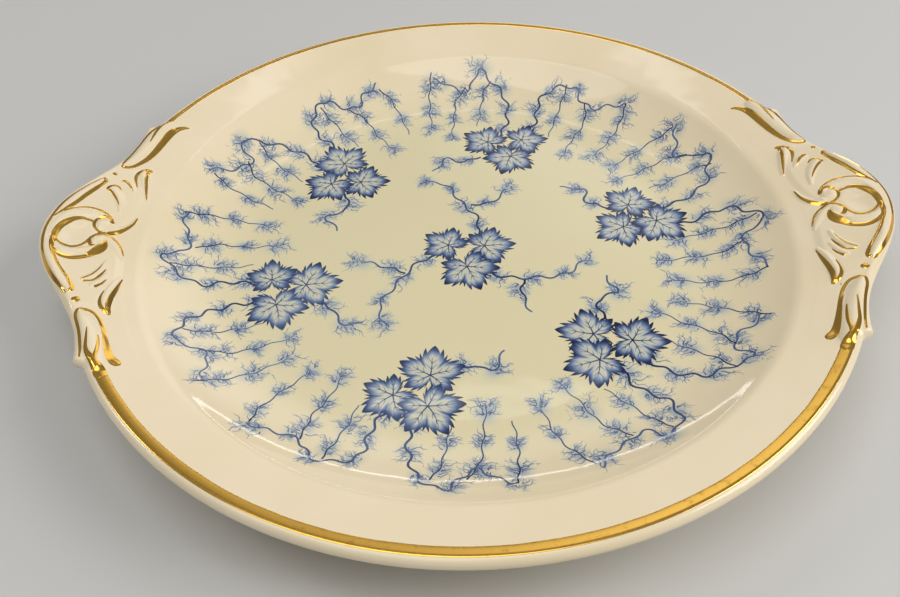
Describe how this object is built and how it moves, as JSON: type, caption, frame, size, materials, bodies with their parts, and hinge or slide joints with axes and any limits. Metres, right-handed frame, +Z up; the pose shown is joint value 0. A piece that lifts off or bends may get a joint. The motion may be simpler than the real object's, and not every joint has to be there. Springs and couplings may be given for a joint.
{
  "type": "handled cake plate",
  "caption": "Round shallow porcelain cake plate on a foot ring, with a rounded gold-banded lip and moulded scroll tab handles at opposite sides of the rim.",
  "frame": {"origin": "on the table, under the centre of the plate", "axes": "+Z up, +X through the right handle, -Y towards the viewer of the picture"},
  "size_m": [0.26, 0.237, 0.0287],
  "materials": {
    "porcelain": "clear gloss glaze on warm white porcelain",
    "foot_clay": "glazed sides with a bare ground sole",
    "gilding": "burnished gold, a little worn"
  },
  "bodies": {
    "root": {"plate_body": "porcelain", "foot_ring": "foot_clay", "left_handle": "porcelain", "right_handle": "porcelain", "left_back_scroll": "porcelain", "left_front_scroll": "porcelain", "left_back_reed": "porcelain", "left_front_reed": "porcelain", "left_back_leaf": "porcelain", "left_front_leaf": "porcelain", "left_plumes": "porcelain", "right_back_scroll": "porcelain", "right_front_scroll": "porcelain", "right_back_reed": "porcelain", "right_front_reed": "porcelain", "right_back_leaf": "porcelain", "right_front_leaf": "porcelain", "right_plumes": "porcelain", "gilt_band_back": "gilding", "gilt_band_front": "gilding"}
  },
  "joints": []
}
